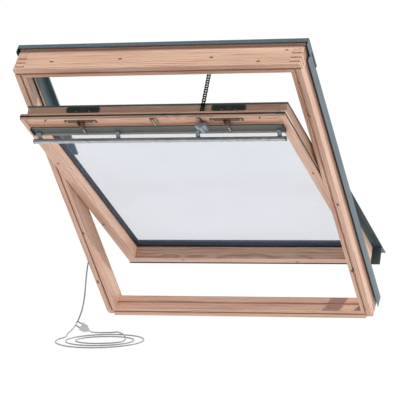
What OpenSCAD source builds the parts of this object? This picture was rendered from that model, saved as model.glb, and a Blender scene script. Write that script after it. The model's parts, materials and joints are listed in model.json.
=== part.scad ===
// Centre-pivot roof window: timber frame and sash, double glazing, metal
// cladding, a chain opener in the head, a ventilation flap with a control bar.
// Window coordinates: x across, s down the slope from the head, n outwards
// from the room edge. Everything is modelled closed in these coordinates;
// the sash is then swung open about its pivot and the window is pitched.

/* [Window] */
// Width over the timber frame
frame_w = 1140; // [900:1:1400]
// Length over the timber frame, down the slope
frame_h = 1400; // [1150:1:1700]
// Pitch of the roof that the window lies in, degrees
roof_pitch = 53; // [30:1:75]
// Angle that the sash stands open, degrees
open_angle = 18.5; // [0:0.5:18.5]

/* [Timber frame] */
// Thickness of the frame members
frame_t = 42; // [38:1:55]
// Depth of the frame members, room edge to roof side
frame_d = 118; // [112:1:150]
// Distance from the outer face to the lining groove
groove_offset = 20; // [12:0.5:24]
// Width of the lining groove
groove_w = 7.5; // [4:0.5:9]
// Depth of the lining groove
groove_d = 10; // [5:0.5:13]
// Height of the rebate step above the room edge
rebate_n = 44; // [36:1:44]
// Depth of the rebate in the inner faces
rebate_d = 3; // [2:0.5:5]
// Gap between the fingers of the corner joints
finger_gap = 5; // [0.5:0.5:6]
// Width of the closing stops beside the upper half of the sash
stop_w = 8; // [7:0.5:9]
// Depth of the bottom member, room edge to its cover
bottom_d = 74; // [66:1:80]
// Depth of the groove along the outer face of the head
head_groove_d = 6; // [3:0.5:7]

/* [Sash] */
// Gap between the sash and the room edge of the frame
sash_gap = 3; // [2:0.5:6]
// Height of the sash's room face above the frame's room edge
sash_n = 20; // [16:1:22]
// Width of the side members of the sash
sash_stile_w = 38; // [34:1:60]
// Width of the bottom member of the sash
sash_bottom_w = 40; // [36:1:60]
// Width of the top member of the sash
sash_top_w = 105; // [100:1:130]
// Depth of the sash's room part, which closes against the stops
sash_lip_d = 24; // [22:1:26]
// Overall timber depth of the sash
sash_d = 72; // [66:1:74]
// Set-back of the upper sash's outer part at the sides
side_step = 8.5; // [8:0.5:12]
// Set-back of the sash's outer part at the top
top_step = 40; // [34:1:46]

/* [Glazing] */
// Thickness of each pane
pane_t = 4; // [3:0.5:6]
// Space between the panes
pane_space = 12; // [8:1:16]
// Overlap of the panes on the timber
pane_lap = 12; // [8:1:14]
// Depth from the sash's room face to the glazing seat
seat_d = 54; // [46:1:56]

/* [Pivot] */
// Distance of the pivot above mid-height
pivot_above_middle = 55; // [20:1:80]
// Height of the pivot above the room edge
pivot_n = 106; // [106:1:110]
// Diameter of the pivot pins
pin_dia = 12; // [8:1:16]
// Radial running clearance of pins in their bores
pin_clearance = 0.05; // [0.02:0.01:0.1]

/* [Cladding] */
// Sheet thickness of the cladding
sheet = 1.5; // [1:0.1:2]
// Stand-off of the side flanges from the timber
standoff = 8; // [4:1:12]
// Height of the head cover above the timber
head_cover_h = 11; // [9:1:24]
// Length of the head cover down the slope
head_cover_l = 140; // [120:1:180]
// Overhang of the upper side covers beyond the stops
cover_overhang = 20; // [5:1:25]

/* [Opener] */
// Distance of the chain from the middle of the window
chain_x = 190; // [120:1:260]
// Length of the opener's casing
casing_l = 430; // [360:1:480]
// Pitch of the chain
chain_pitch = 9.5; // [8:0.5:12]
// Height of the chain's links
link_h = 9; // [5:0.5:9]
// Width of the chain
link_w = 14; // [9:0.5:15]

/* [Flap and bar] */
// Length of the ventilation flap
flap_l = 1000; // [800:1:1010]
// Width of the ventilation flap
flap_w = 46; // [42:1:56]
// Length of the control bar
bar_l = 1000; // [850:1:1010]
// Height of the control bar's section
bar_h = 17; // [12:1:22]
// Depth of the control bar's section
bar_d = 15; // [10:1:18]
// Distance of the flap's arms from the middle
arm_x = 290; // [230:1:340]

/* [Mains cord] */
// Diameter of the cord
cord_dia = 6; // [5:0.5:8]
// Outer diameter of the loose coil on the floor
coil_dia = 394; // [320:1:450]
// Inner diameter of the loose coil
coil_inner_dia = 224; // [150:1:260]

/* [Hidden] */
$fn = 48;
eps = 0.01;

half_w = frame_w / 2;
inner_half = half_w - frame_t;
rebate_half = inner_half + rebate_d;
stop_n = sash_n + sash_lip_d + 2;
bottom_step_n = 14;
bottom_step_top = 45;
head_groove_n = [98, 110];
low_rebate_w = 16;
low_rebate_n = 88;
stop_half = rebate_half - stop_w;
mount_n = frame_d / 2;
finger_n = [15, 37, 60];

// Sash
sash_half = inner_half - sash_gap;
sash_top = frame_t + sash_gap;
sash_end = frame_h - frame_t - 5;
sash_lip_n = sash_n + sash_lip_d;
sash_out_n = sash_n + sash_d;
open_half = sash_half - sash_stile_w;
open_top = sash_top + sash_top_w;
open_end = sash_end - sash_bottom_w;
outer_half = sash_half - side_step;
outer_top = sash_top + top_step;

// Glazing
seat_n = sash_n + seat_d;
seal_t = 2;
pane_half = open_half + pane_lap;
pane_top = open_top - pane_lap;
pane_end = open_end + pane_lap;
unit_t = 2 * pane_t + pane_space;
unit_n = seat_n + unit_t;
unit_gap = 3;
seal_n = [sash_lip_n - 14, sash_lip_n - 8];
seal_d = 5;
spacer_w = 9;

// Cladding
cover_n = frame_d + 0.5;
flange_n = 65;
side_start = 46;
clad_n = seat_n + seal_t + unit_t + 0.5;
wide_n = cover_n + sheet + 2.5;
wide_half = half_w - 22;
wide_s = frame_h + 75;
skirt_s = frame_h + 8.5;

// Pivot
pivot_s = frame_h / 2 - pivot_above_middle;
plate_l = 120;
plate_w = 30;
plate_t = 2;
pin_reach = 8;
lug_n = 12;
stop_end = pivot_s - plate_l / 2 - 10;
cover_start = pivot_s + plate_l / 2 + 15;

// Opener: the chain's outlet lies on the circle that its end runs on
attach_s = outer_top - 10;
attach_n = sash_lip_n + 7;
attach_r = norm([pivot_s - attach_s, attach_n - pivot_n]);
outlet_n = attach_n + 23;
outlet_s = pivot_s - sqrt(attach_r * attach_r - (outlet_n - pivot_n) * (outlet_n - pivot_n));
attach_open = swing_point([attach_s, attach_n], open_angle);
chain_len = norm(attach_open - [outlet_s, outlet_n]);
chain_angle = atan2(attach_open[0] - outlet_s, outlet_n - attach_open[1]);
link_count = floor(chain_len / chain_pitch);
wall = 1.5;
casing_n0 = attach_n + 9;
casing_n1 = frame_d - 1;
lead_s = 26;
lead_n = casing_n0 + 12;
motor_dia = min(22, casing_n1 - casing_n0 - 2 * wall);
motor_mid_n = (casing_n0 + casing_n1) / 2;
casing_s0 = 10;
casing_s1 = outlet_s + link_h / 2 + 2.2;
casing_x1 = chain_x + 30;
casing_x0 = casing_x1 - casing_l;
sprocket_r = 8;
sprocket_s = outlet_s - sprocket_r - link_h * 0.4 - 0.5;
sprocket_n = outlet_n;
arbor_dia = 5;

// Flap: hinge line of the flap and the bar, relative to the sash
recess_s0 = sash_top + 3;
recess_s1 = sash_top + 59;
recess_half = sash_half - 17;
recess_d = 8;
base_s = [recess_s0 + 24, recess_s0 + 42];
flap_axis_s = base_s[1] + 4;
flap_axis_n = sash_n - 3;
flap_n = sash_n - 6;
flap_s0 = recess_s1 + 3;
flap_s1 = flap_s0 + flap_w;
flap_t = 3;
flap_lip = 8;
bar_s = flap_s1 + 10;
bar_n = flap_n - 27;
arm_screw_s = [flap_s0 + 14, flap_s0 + 28];
bracket_x = [for (k = [-1.5, -0.5, 0.5, 1.5]) k * (bar_l - 44) / 3];
flap_pin_dia = 4;
latch_s1 = flap_s0 - 6;
lock_l = 42;
lock_w = 42;
foot_l = 18;

// Cord: window coordinates end at the clamp; the route is in the part's frame
clamp_s = frame_h - 360;
clamp_n = 84;
clamp_h = 24;
lead_dia = 6;
lead_x = -half_w + lead_dia / 2 + 1;
floor_z = -mount_n * cos(roof_pitch);
cord_r = cord_dia / 2;
clamp_exit = place([-half_w - 8, clamp_s + clamp_h, clamp_n]);
coil_centre = [-half_w + 175, -565];
coil_h = 7;
cord_route = [
    clamp_exit,
    for (p = [[10, -170, 266], [18, -164, 243], [30, -166, 212], [36, -174, 168],
        [39, -184, 120], [41, -198, 76], [42, -222, 36], [42, -268, 4], [38, -328, -18],
        [30, -394, -28], [24, -450, -31.8], [15, -512, -32.3]]) [-half_w - p[0], p[1], p[2]]
];
plug_at = [-half_w + 84, -452, -24];
plug_tilt = 33;
plug_turn = 19;
plug_l = 36;
plug_w = 35;
plug_t = 14;
boot_l = 16;

// The positions of window points in the part's own frame
function place(p) = let (s = p[1] - frame_h, n = p[2] - mount_n)
    [p[0], s * cos(roof_pitch) + n * sin(roof_pitch), n * cos(roof_pitch) - s * sin(roof_pitch)];
// A point [s, n] of the sash after it has swung by an angle
function swing_point(p, a) = let (ds = p[0] - pivot_s, dn = p[1] - pivot_n)
    [pivot_s + ds * cos(a) - dn * sin(a), pivot_n + ds * sin(a) + dn * cos(a)];

// ---- placing ---------------------------------------------------------------

module in_window() {
    rotate([-roof_pitch, 0, 0]) translate([0, -frame_h, -mount_n]) children();
}

module in_sash() {
    in_window() translate([0, pivot_s, pivot_n]) rotate([open_angle, 0, 0])
        translate([0, -pivot_s, -pivot_n]) children();
}

// A box given by its ranges in x, s and n
module block(x, s, n) {
    translate([x[0], s[0], n[0]]) cube([x[1] - x[0], s[1] - s[0], n[1] - n[0]]);
}

// A box on the left or right side, given by distances from the middle
module side_block(side, x, s, n) {
    if (side < 0) block([-x[1], -x[0]], s, n);
    else block(x, s, n);
}

module x_cylinder(d, x, s, n) {
    translate([x[0], s, n]) rotate([0, 90, 0]) cylinder(d = d, h = x[1] - x[0]);
}

module s_cylinder(d, x, s, n) {
    translate([x, s[0], n]) rotate([-90, 0, 0]) cylinder(d = d, h = s[1] - s[0]);
}

module n_cylinder(d, x, s, n) {
    translate([x, s, n[0]]) cylinder(d = d, h = n[1] - n[0]);
}

// Rounded rectangle about the origin
module rounded(w, h, r) {
    square([w - 2 * r, h], center = true);
    square([w, h - 2 * r], center = true);
    for (i = [-1, 1], j = [-1, 1])
        translate([i * (w / 2 - r), j * (h / 2 - r)]) circle(r = r);
}

// ---- timber frame ----------------------------------------------------------

// The slices of a corner that belong to the rails (0) or the stiles (1)
function finger_slices(owner) = let (e = concat([0], finger_n, [frame_d]))
    [for (i = [owner:2:len(e) - 2]) [
        i == 0 ? 0 : e[i] + finger_gap / 2,
        i == len(e) - 2 ? frame_d : e[i + 1] - finger_gap / 2]];

// Lining groove round the room edge; it runs out at the ends of the head
module lining_groove() {
    a = groove_offset;
    b = groove_offset + groove_w;
    n = [-1, groove_d];
    block([-half_w - 1, half_w + 1], [a, b], n);
    block([-half_w + a, half_w - a], [frame_h - b, frame_h - a], n);
    for (side = [-1, 1])
        side_block(side, [half_w - b, half_w - a], [a, frame_h + 1], n);
}

// Groove along the outer face of the head; it runs out at the ends
module head_groove() {
    block([-half_w - 1, half_w + 1], [-1, head_groove_d], head_groove_n);
}

module frame_rebate() {
    block([-rebate_half, rebate_half], [frame_t - rebate_d, frame_h - frame_t + rebate_d],
        [rebate_n, frame_d + 1]);
}

module frame_rail(s0, depth) {
    difference() {
        union() {
            block([-inner_half, inner_half], [s0, s0 + frame_t], [0, depth]);
            for (side = [-1, 1], n = finger_slices(0))
                side_block(side, [inner_half - eps, half_w], [s0, s0 + frame_t], n);
        }
        lining_groove();
        frame_rebate();
    }
}

module frame_top_rail() {
    color("#d9b08c") in_window() difference() {
        frame_rail(0, frame_d);
        lead_channel();
        head_groove();
        // Pocket for the opener
        block([casing_x0 - 0.5, casing_x1 + 0.5], [casing_s0 - 0.5, frame_t + 1],
            [casing_n0 - 0.5, frame_d + 1]);
    }
}

module frame_bottom_rail() {
    color("#e6c39a") in_window() difference() {
        frame_rail(frame_h - frame_t, bottom_d);
        // The inner face is set back above its lower edge, in two steps
        for (step = [[rebate_d, bottom_d + 1], [2 * rebate_d, bottom_step_top]])
            block([-inner_half - 1, inner_half + 1],
                [frame_h - frame_t - 1, frame_h - frame_t + step[0]], [bottom_step_n, step[1]]);
        // The outer corners at the room edge are cut back to the groove
        for (side = [-1, 1])
            side_block(side, [half_w - groove_offset - groove_w, half_w + 1],
                [frame_h - groove_offset, frame_h + 1], [-1, groove_d]);
    }
}

module frame_stile(side) {
    difference() {
        union() {
            side_block(side, [inner_half, half_w], [frame_t, frame_h - frame_t], [0, frame_d]);
            for (s0 = [0, frame_h - frame_t - eps], n = finger_slices(1))
                side_block(side, [inner_half, half_w], [s0, s0 + frame_t + eps], n);
        }
        lining_groove();
        frame_rebate();
        head_groove();
        // Beside the lower half the outer inner corner is cut back
        side_block(side, [inner_half - 1, inner_half + low_rebate_w],
            [cover_start - 3, frame_h + 1], [low_rebate_n, frame_d + 1]);
        if (side < 0) lead_channel();
    }
}

module frame_left_stile() {
    color("#cfa27e") in_window() frame_stile(-1);
}

module frame_right_stile() {
    color("#cfa27e") in_window() frame_stile(1);
}

// Closing stops beside the upper half of the sash and above it
module side_stop(side) {
    side_block(side, [stop_half, rebate_half], [frame_t - rebate_d, stop_end], [stop_n, frame_d]);
}

module frame_left_stop() {
    color("#a87c66") in_window() side_stop(-1);
}

module frame_right_stop() {
    color("#a87c66") in_window() side_stop(1);
}

module frame_top_stops() {
    s = [frame_t - rebate_d, frame_t - rebate_d + stop_w];
    color("#a87c66") in_window() {
        block([-stop_half, casing_x0 - 1], s, [stop_n, frame_d]);
        block([casing_x1 + 1, stop_half], s, [stop_n, frame_d]);
    }
}

module frame_gasket() {
    n = [sash_lip_n + 0.3, stop_n];
    w = 9;
    s0 = frame_t - rebate_d;
    color("#1c1c1c") in_window() {
        block([-rebate_half, rebate_half], [s0, s0 + w - 2], n);
        for (side = [-1, 1]) side_block(side, [rebate_half - w, rebate_half],
            [s0 + w - 2 - eps, stop_end - 2], n);
    }
}

// ---- cladding of the frame ---------------------------------------------------

module frame_head_cover() {
    s = [-standoff, head_cover_l - standoff];
    x = half_w + standoff + 2 * sheet + 0.5;
    n = [frame_d - 26, frame_d - 7, cover_n + sheet + head_cover_h];
    color("#66706f") in_window() difference() {
        block([-x, x], s, [n[0], n[2]]);
        block([-x + sheet, x - sheet], [s[0] + sheet, s[1] - sheet], [n[0] - 1, n[2] - sheet]);
        // The end walls reach deeper than the skirt at the head
        block([-x + sheet, x - sheet], [s[0] - 1, s[1] + 1], [n[0] - 1, n[1]]);
        block([-x + sheet, x - sheet], [s[0] + 4, s[1] + 1], [n[0] - 1, cover_n + sheet + 0.5]);
        block([-x - 1, x + 1], [s[0] + 60, s[1] + 1], [n[0] - 1, cover_n + sheet + 0.5]);
    }
}

module frame_side_cover(side) {
    outer = half_w + standoff;
    inner = stop_half - cover_overhang;
    s1 = frame_h + 4;
    union() {
        // The outer edge starts below the end wall of the head cover
        side_block(side, [rebate_half, half_w - 1], [0, cover_start - 6],
            [cover_n, cover_n + sheet]);
        side_block(side, [half_w - 1 - eps, outer + sheet], [side_start, cover_start - 6],
            [cover_n, cover_n + sheet]);
        side_block(side, [inner_half + low_rebate_w + 1, outer + sheet],
            [cover_start - 6 - eps, s1], [cover_n, cover_n + sheet]);
        // Outer flange; the left one is cut out round the cord clamp
        difference() {
            side_block(side, [outer, outer + sheet], [side_start, s1], [flange_n, cover_n + eps]);
            block([-outer - sheet - 1, -outer + 1], [clamp_s - 4, clamp_s + clamp_h + 56],
                [flange_n - 1, clamp_n + 18]);
        }
        // Inner flange down the side of the stop
        side_block(side, [stop_half - sheet - 0.2, stop_half - 0.2],
            [frame_t + stop_w, stop_end], [stop_n + 14, cover_n + eps]);
        // The upper half laps over the stop and the edge of the sash
        side_block(side, [inner, rebate_half + eps], [frame_t, stop_end], [cover_n, cover_n + sheet]);
        side_block(side, [inner, inner + sheet], [head_cover_l - standoff + 1, stop_end],
            [cover_n, cover_n + 9]);
    }
}

module frame_left_cover() {
    color("#5d6c73") in_window() frame_side_cover(-1);
}

module frame_right_cover() {
    color("#5d6c73") in_window() frame_side_cover(1);
}

module frame_bottom_cover() {
    x = inner_half - 1;
    n = bottom_d + 0.5;
    s = [frame_h - frame_t + 8, frame_h - 0.5];
    color("#5d6c73") in_window() union() {
        block([-x, x], s, [n, n + sheet]);
        block([-x, x], [s[0], s[0] + sheet], [n, n + sheet + 4]);
    }
}

// ---- opener in the head --------------------------------------------------------

module opener_casing() {
    x = [casing_x0, casing_x1];
    color("#4a4d4f") in_window() difference() {
        block(x, [casing_s0, casing_s1], [casing_n0, casing_n1]);
        block([x[0] + wall, x[1] - wall], [casing_s0 + wall, casing_s1 - wall],
            [casing_n0 + wall, casing_n1 - wall]);
        // Outlet of the chain, open round the corner
        block([chain_x - link_w / 2 - 1.5, chain_x + link_w / 2 + 1.5],
            [outlet_s - link_h / 2 - 1, casing_s1 + 1], [casing_n0 - 1, outlet_n + 2]);
        // Entry of the supply lead
        x_cylinder(lead_dia + 1, [x[0] - 1, x[0] + wall + 1], lead_s, lead_n);
    }
}

module opener_motor() {
    x0 = casing_x0 + 170;
    s = 28;
    color("#8a8d90") in_window() union() {
        x_cylinder(motor_dia - 1, [x0, x0 + 90], s, motor_mid_n);
        x_cylinder(9, [x0 + 90 - eps, x0 + 96], s, motor_mid_n);
    }
}

module opener_gearbox() {
    x0 = casing_x0 + 266;
    h = [casing_n0 + wall, casing_n1 - wall];
    color("#6b6f72") in_window() union() {
        block([x0, x0 + 76], [casing_s0 + wall, casing_s1 - 8], h);
        // Sprocket arbor
        x_cylinder(arbor_dia, [x0 + 76 - eps, chain_x + link_w / 2 + 3], sprocket_s, sprocket_n);
    }
}

module chain_sprocket() {
    teeth = 6;
    color("#9a9c9e") in_window() translate([chain_x, sprocket_s, sprocket_n])
        rotate([0, 90, 0]) linear_extrude(height = 3, center = true) difference() {
            union() {
                circle(r = sprocket_r - 1.5);
                for (k = [0:teeth - 1]) rotate(k * 360 / teeth)
                    translate([sprocket_r - 2, 0]) square([4, 3], center = true);
            }
            circle(d = arbor_dia + 2 * pin_clearance);
        }
}

module opener_board() {
    x = [casing_x0 + 30, casing_x0 + 150];
    color("#2f6b46") in_window() union() {
        block(x, [casing_s0 + 6, casing_s1 - 6], [casing_n0 + 4, casing_n0 + 5.6]);
        for (i = [8, 112], s = [casing_s0 + 10, casing_s1 - 10])
            n_cylinder(5, x[0] + i, s, [casing_n0 + wall, casing_n0 + 4 + eps]);
        block([x[0] + 20, x[0] + 60], [casing_s0 + 12, casing_s1 - 14],
            [casing_n0 + 5.6 - eps, casing_n0 + 15]);
        block([x[0] + 75, x[0] + 95], [casing_s0 + 10, casing_s0 + 28],
            [casing_n0 + 5.6 - eps, casing_n0 + 12]);
    }
}

// Wide and narrow links in turn, with a rivet through each joint
module chain_links() {
    step = (chain_len - 2) / link_count;
    for (i = [0:link_count - 1]) {
        w = i % 2 == 0 ? link_w : link_w - 3;
        translate([0, (i + 0.5) * step, 0])
            cube([w, step - 1.6, link_h * 0.7], center = true);
        translate([0, i * step, 0]) rotate([0, 90, 0])
            cylinder(d = link_h * 0.8, h = link_w + 0.6, center = true);
    }
}

module push_chain() {
    color("#2b2a29") in_window() translate([chain_x, outlet_s, outlet_n])
        rotate([chain_angle - 90, 0, 0]) chain_links();
}

// ---- pivots ----------------------------------------------------------------------

// Frame side: a plate on the rebate with the pin that carries the sash
module pivot_pin(side) {
    x = [rebate_half - plate_t, rebate_half];
    difference() {
        union() {
            side_block(side, x, [pivot_s - plate_l / 2, pivot_s + plate_l / 2],
                [pivot_n - plate_w / 2, pivot_n + plate_w / 2 - 5]);
            x_cylinder(pin_dia, side < 0 ? [-rebate_half, -sash_half + pin_reach]
                : [sash_half - pin_reach, rebate_half], pivot_s, pivot_n);
        }
        for (k = [-1, 1]) x_cylinder(4.5, side < 0 ? [-x[1] - 1, -x[0] + 1]
            : [x[0] - 1, x[1] + 1], pivot_s + k * 45, pivot_n);
    }
}

module pivot_pin_left() {
    color("#8d9092") in_window() pivot_pin(-1);
}

module pivot_pin_right() {
    color("#8d9092") in_window() pivot_pin(1);
}

// Sash side: a plate let into the stile, with the bearing bore
module pivot_plate(side) {
    x = [sash_half - 3, sash_half];
    range = side < 0 ? [-x[1], -x[0]] : x;
    difference() {
        union() {
            side_block(side, x, [pivot_s - plate_l / 2, pivot_s + plate_l / 2],
                [sash_out_n - plate_w, sash_out_n]);
            // Lug that carries the bore above the timber
            hull() {
                side_block(side, x, [pivot_s - 24, pivot_s + 24],
                    [sash_out_n - plate_w, sash_out_n]);
                x_cylinder(2 * lug_n, range, pivot_s, pivot_n);
            }
        }
        x_cylinder(pin_dia + 2 * pin_clearance, range + [-1, 1], pivot_s, pivot_n);
        for (k = [-1, 1]) x_cylinder(4.5, range + [-1, 1], pivot_s + k * 45, sash_out_n - 15);
    }
}

module pivot_plate_left() {
    color("#a3a6a8") in_sash() pivot_plate(-1);
}

module pivot_plate_right() {
    color("#a3a6a8") in_sash() pivot_plate(1);
}

// ---- sash timber -------------------------------------------------------------------

// Space of the glass unit and its clearance
module unit_space() {
    block([-pane_half - unit_gap, pane_half + unit_gap],
        [pane_top - unit_gap, pane_end + unit_gap], [seat_n, sash_out_n + 1]);
}

// Groove for the sash gasket in the outer edges of the upper half
module seal_groove() {
    block([-sash_half - 1, sash_half + 1], [sash_top - 1, sash_top + seal_d], seal_n);
    for (side = [-1, 1]) side_block(side, [sash_half - seal_d, sash_half + 1],
        [sash_top - 1, stop_end], seal_n);
}

// Ventilation recess in the room face of the sash's top
module vent_recess() {
    block([-recess_half, recess_half], [recess_s0, recess_s1], [sash_n - 1, sash_n + recess_d]);
}

module sash_stile(side) {
    difference() {
        union() {
            side_block(side, [open_half, sash_half], [sash_top, sash_end], [sash_n, sash_lip_n]);
            side_block(side, [open_half, outer_half], [outer_top, sash_end],
                [sash_lip_n - eps, sash_out_n]);
            side_block(side, [open_half, sash_half], [stop_end + 10, sash_end],
                [sash_lip_n - eps, sash_out_n]);
        }
        unit_space();
        seal_groove();
        sash_tenons(0.1);
        vent_recess();
        // Housing of the pivot plate
        side_block(side, [sash_half - 3, sash_half + 1],
            [pivot_s - plate_l / 2, pivot_s + plate_l / 2],
            [sash_out_n - plate_w, sash_out_n + 1]);
    }
}

// Tenons of the sash rails, larger by a gap when they are cut from the stiles
module sash_tenons(gap) {
    for (side = [-1, 1], s = [[sash_top + 24, open_top - 20], [open_end + 8, sash_end - 8]])
        side_block(side, [open_half - eps, open_half + 26 + gap],
            [s[0] - gap, s[1] + gap], [sash_n + 17 - gap, sash_n + 17 + 13 + gap]);
}

module sash_left_stile() {
    color("#b98d70") in_sash() sash_stile(-1);
}

module sash_right_stile() {
    color("#b98d70") in_sash() sash_stile(1);
}

module sash_top_rail() {
    x = [-open_half, open_half];
    color("#b98d70") in_sash() difference() {
        union() {
            block(x, [sash_top, open_top], [sash_n, sash_lip_n]);
            block(x, [outer_top, open_top], [sash_lip_n - eps, sash_out_n]);
            intersection() {
                sash_tenons(0);
                block([-sash_half, sash_half], [0, frame_h / 2], [0, frame_d]);
            }
        }
        unit_space();
        seal_groove();
        vent_recess();
    }
}

module sash_bottom_rail() {
    x = [-open_half, open_half];
    color("#c99c78") in_sash() difference() {
        union() {
            block(x, [open_end, sash_end], [sash_n, sash_out_n]);
            intersection() {
                sash_tenons(0);
                block([-sash_half, sash_half], [frame_h / 2, frame_h], [0, frame_d]);
            }
        }
        unit_space();
    }
}

// ---- glazing -----------------------------------------------------------------------

module pane(n0, n1) {
    block([-pane_half, pane_half], [pane_top, pane_end], [n0, n1]);
}

module pane_ring(inset, w, n0, n1) {
    difference() {
        block([-pane_half + inset, pane_half - inset], [pane_top + inset, pane_end - inset], [n0, n1]);
        block([-pane_half + inset + w, pane_half - inset - w],
            [pane_top + inset + w, pane_end - inset - w], [n0 - 1, n1 + 1]);
    }
}

module inner_pane() {
    color("#dfe8ee", 0.5) in_sash() pane(seat_n + seal_t, seat_n + seal_t + pane_t);
}

module outer_pane() {
    color("#dfe8ee", 0.5) in_sash()
        pane(seat_n + seal_t + pane_t + pane_space, seat_n + seal_t + unit_t);
}

module pane_spacer() {
    color("#2d2f30") in_sash() pane_ring(2, spacer_w,
        seat_n + seal_t + pane_t, seat_n + seal_t + pane_t + pane_space);
}

module glazing_gasket() {
    color("#161616") in_sash() pane_ring(0, pane_lap + 3, seat_n, seat_n + seal_t);
}

module sash_gasket() {
    color("#1c1c1c") in_sash() intersection() {
        seal_groove();
        block([-sash_half - 0.8, sash_half + 0.8], [sash_top - 0.8, stop_end], [0, frame_d]);
    }
}

// ---- cladding of the sash ------------------------------------------------------------

module sash_top_cover() {
    x = open_half - 6.5;
    color("#6b7678") in_sash() union() {
        block([-x, x], [outer_top - sheet, open_top + 6], [clad_n, clad_n + sheet]);
        block([-x, x], [outer_top - sheet, outer_top], [sash_out_n - 1, clad_n + eps]);
    }
}

module sash_side_cover(side) {
    inner = open_half - 6;
    flange = [outer_half, outer_half + sheet];
    union() {
        // Flat strip beside the glass, with its flanges
        side_block(side, [inner, flange[1]], [outer_top - sheet, sash_end],
            [clad_n, clad_n + sheet]);
        side_block(side, [inner, flange[1]], [outer_top - sheet, outer_top],
            [sash_out_n - 1, clad_n + eps]);
        side_block(side, flange, [outer_top - sheet, stop_end + 9], [sash_out_n - 1, clad_n + eps]);
        // The lower half laps over the frame
        side_block(side, flange, [cover_start, sash_end], [clad_n, wide_n + sheet]);
        side_block(side, [outer_half, wide_half], [cover_start, wide_s],
            [wide_n, wide_n + sheet]);
    }
}

module sash_left_cover() {
    color("#6b7678") in_sash() sash_side_cover(-1);
}

module sash_right_cover() {
    color("#6b7678") in_sash() sash_side_cover(1);
}

module sash_bottom_cover() {
    x = [open_half - 6.5, outer_half - 0.5];
    s = [sash_end, wide_s];
    color("#6b7678") in_sash() union() {
        block([-x[0], x[0]], [open_end - 6, s[0] + sheet], [clad_n, clad_n + sheet]);
        block([-x[1], x[1]], [s[0] + 0.2, s[0] + sheet], [clad_n, wide_n + eps]);
        block([-x[1], x[1]], [s[0] + 0.2, s[1]], [wide_n, wide_n + sheet]);
        // Skirt beyond the lower end of the frame
        block([-x[1], x[1]], [skirt_s - sheet, skirt_s], [sash_n + 20, wide_n + eps]);
        block([-wide_half, wide_half], [skirt_s - sheet, skirt_s],
            [sash_n + 20, wide_n - 0.3]);
    }
}

// ---- fittings on the sash ---------------------------------------------------------------

module chain_bracket() {
    w = link_w + 1.6;
    color("#9b9588") in_sash() difference() {
        union() {
            block([chain_x - w / 2 - 14, chain_x + w / 2 + 14], [outer_top - 2.5, outer_top],
                [sash_lip_n + 1, sash_lip_n + 15]);
            for (side = [-1, 1]) translate([chain_x + side * (w / 2 + 1), 0, 0])
                block([-1, 1], [attach_s - 4, outer_top - 2.5 + eps],
                    [sash_lip_n + 1, sash_lip_n + 13]);
        }
        x_cylinder(4 + 2 * pin_clearance, [chain_x - w, chain_x + w], attach_s, attach_n);
    }
}

module chain_pin() {
    w = link_w + 9;
    color("#b08d3c") in_sash() union() {
        x_cylinder(4, [chain_x - w / 2, chain_x + w / 2], attach_s, attach_n);
        x_cylinder(7, [chain_x + w / 2 - eps, chain_x + w / 2 + 2], attach_s, attach_n);
    }
}

// Dark moulded covers over the ventilation inlets, in two halves
module vent_cover(x) {
    l = 136;
    w = 24;
    t = 3;
    color("#33383a") in_sash()
        translate([x, outer_top, sash_out_n - 14]) rotate([90, 0, 0])
            difference() {
                linear_extrude(height = t) rounded(l, w, 10);
                translate([0, 0, t - 1]) linear_extrude(height = 2) square([1.2, w + 2], center = true);
                for (k = [-1, 1]) translate([k * l / 4, 0, t - 1.2]) linear_extrude(height = 2)
                    rounded(l / 2 - 18, w - 10, 3);
            }
}

module vent_cover_left() {
    vent_cover(-arm_x);
}

module vent_cover_right() {
    vent_cover(arm_x);
}

module flap_base(x) {
    floor_n = sash_n + recess_d;
    w = 130;
    difference() {
        union() {
            block([x - w / 2, x + w / 2], base_s, [floor_n - 3, floor_n]);
            for (k = [-1, 1]) translate([x + k * 9, 0, 0])
                block([-1.5, 1.5], [base_s[0], flap_axis_s + 4], [flap_axis_n - 4, floor_n]);
        }
        x_cylinder(flap_pin_dia + 2 * pin_clearance, [x - 12, x + 12], flap_axis_s, flap_axis_n);
        for (k = [-1, 1]) n_cylinder(4.5, x + k * (w / 2 - 10),
            (base_s[0] + base_s[1]) / 2, [floor_n - 4, floor_n + 1]);
    }
}

module flap_base_left() {
    color("#54463c") in_sash() flap_base(-arm_x);
}

module flap_base_right() {
    color("#54463c") in_sash() flap_base(arm_x);
}

module latch_pin() {
    color("#a5813a") in_sash() union() {
        s_cylinder(5, chain_x, [recess_s0, latch_s1], sash_n + 5);
        block([chain_x - 9, chain_x + 9], [recess_s0, recess_s0 + 4], [sash_n - 4, sash_n + recess_d]);
    }
}

// Barrel stud in the middle and two guide pins in the recess
module centre_stud() {
    color("#c9a37a") in_sash() union() {
        for (x = [-425, 425]) n_cylinder(7, x, recess_s0 + 12, [sash_n - 4, sash_n + recess_d]);
        s_cylinder(14, 6, [recess_s0 + 4, recess_s1 - 4], sash_n);
        block([-6, 18], [recess_s0 + 8, recess_s1 - 8], [sash_n, sash_n + recess_d]);
    }
}

// ---- flap and bar -----------------------------------------------------------------------

module ventilation_flap() {
    x = [-flap_l / 2, flap_l / 2];
    color("#6e7372") in_sash() union() {
        block(x, [flap_s0, flap_s1], [flap_n, flap_n + flap_t]);
        block(x, [flap_s0, flap_s0 + 2], [flap_n, flap_n + 5]);
        block(x, [flap_s1 - 2, flap_s1], [flap_n - flap_lip, flap_n + eps]);
    }
}

module flap_arm(x) {
    w = 12;
    color("#8b7565") in_sash() difference() {
        union() {
            block([x - w / 2, x + w / 2], [flap_axis_s, flap_s0 + 36], [flap_n - 3, flap_n]);
            x_cylinder(9, [x - w / 2, x + w / 2], flap_axis_s, flap_axis_n);
            x_cylinder(flap_pin_dia, [x - 11.5, x + 11.5], flap_axis_s, flap_axis_n);
        }
        for (s = arm_screw_s) n_cylinder(4.5, x, s, [flap_n - 4, flap_n + 1]);
    }
}

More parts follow.
